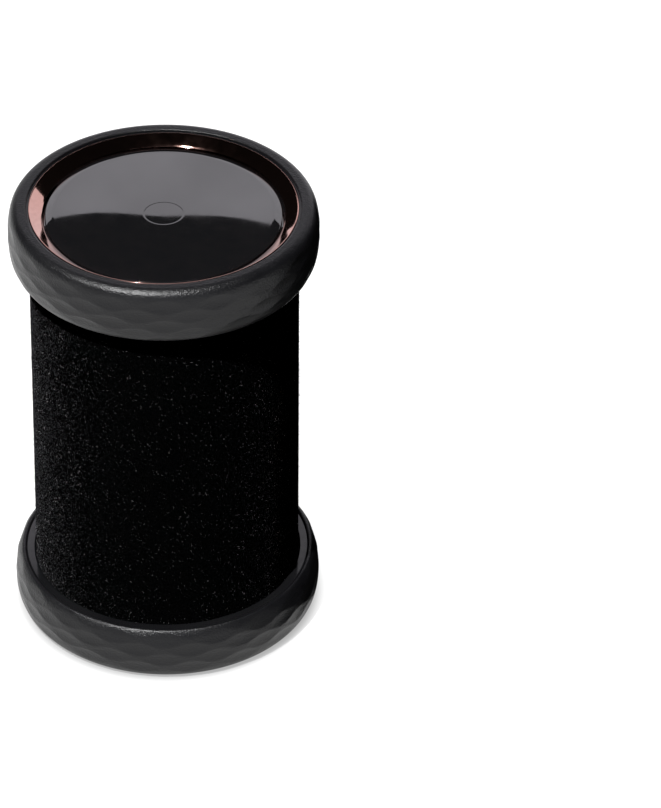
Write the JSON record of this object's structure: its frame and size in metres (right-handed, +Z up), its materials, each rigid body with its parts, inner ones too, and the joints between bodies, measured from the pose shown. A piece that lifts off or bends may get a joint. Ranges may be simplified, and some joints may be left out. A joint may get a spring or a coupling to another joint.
{
  "type": "heated hair roller",
  "caption": "Large velvet-covered heated hair roller with soft grip end rings, a rose-gold ringed gloss cap and a blind bore for a heating post.",
  "frame": {"origin": "centre of the circle that the roller stands on, at floor level", "axes": "+Z up along the roller's axis, from the open lower end to the capped upper end; the viewer stands towards -Y"},
  "size_m": [0.0512, 0.0512, 0.0788],
  "materials": {
    "black_velvet": "short black flocked velvet",
    "barrel_aluminium": "drawn, satin",
    "wax": "solid paraffin wax",
    "silicone": "moulded silicone",
    "insulator_board": "pressed fibre board",
    "foam": "closed-cell foam",
    "gloss_black": "high gloss, injection moulded",
    "soft_touch_rubber": "soft-touch satin with shallow lens-shaped scoops",
    "rose_gold": "mirror-plated rose gold",
    "heat_resin": "glass-filled heat-proof resin",
    "satin_black": "fine spark-eroded satin",
    "screw_steel": "zinc-plated"
  },
  "bodies": {
    "root": {"velvet_sleeve": "black_velvet", "barrel_tube": "barrel_aluminium", "heat_core": "barrel_aluminium", "wax_charge": "wax", "lower_core_seal": "silicone", "upper_core_seal": "silicone", "lower_bulkhead": "barrel_aluminium", "upper_bulkhead": "barrel_aluminium", "insulator_disc": "insulator_board", "disc_pad": "foam", "upper_end_frame": "gloss_black", "lower_end_frame": "gloss_black", "upper_grip_ring": "soft_touch_rubber", "lower_grip_ring": "soft_touch_rubber", "trim_ring": "rose_gold", "top_disc": "gloss_black", "mouth_bush": "heat_resin", "base_plate": "satin_black", "upper_screws": "screw_steel", "lower_screws": "screw_steel"}
  },
  "joints": []
}
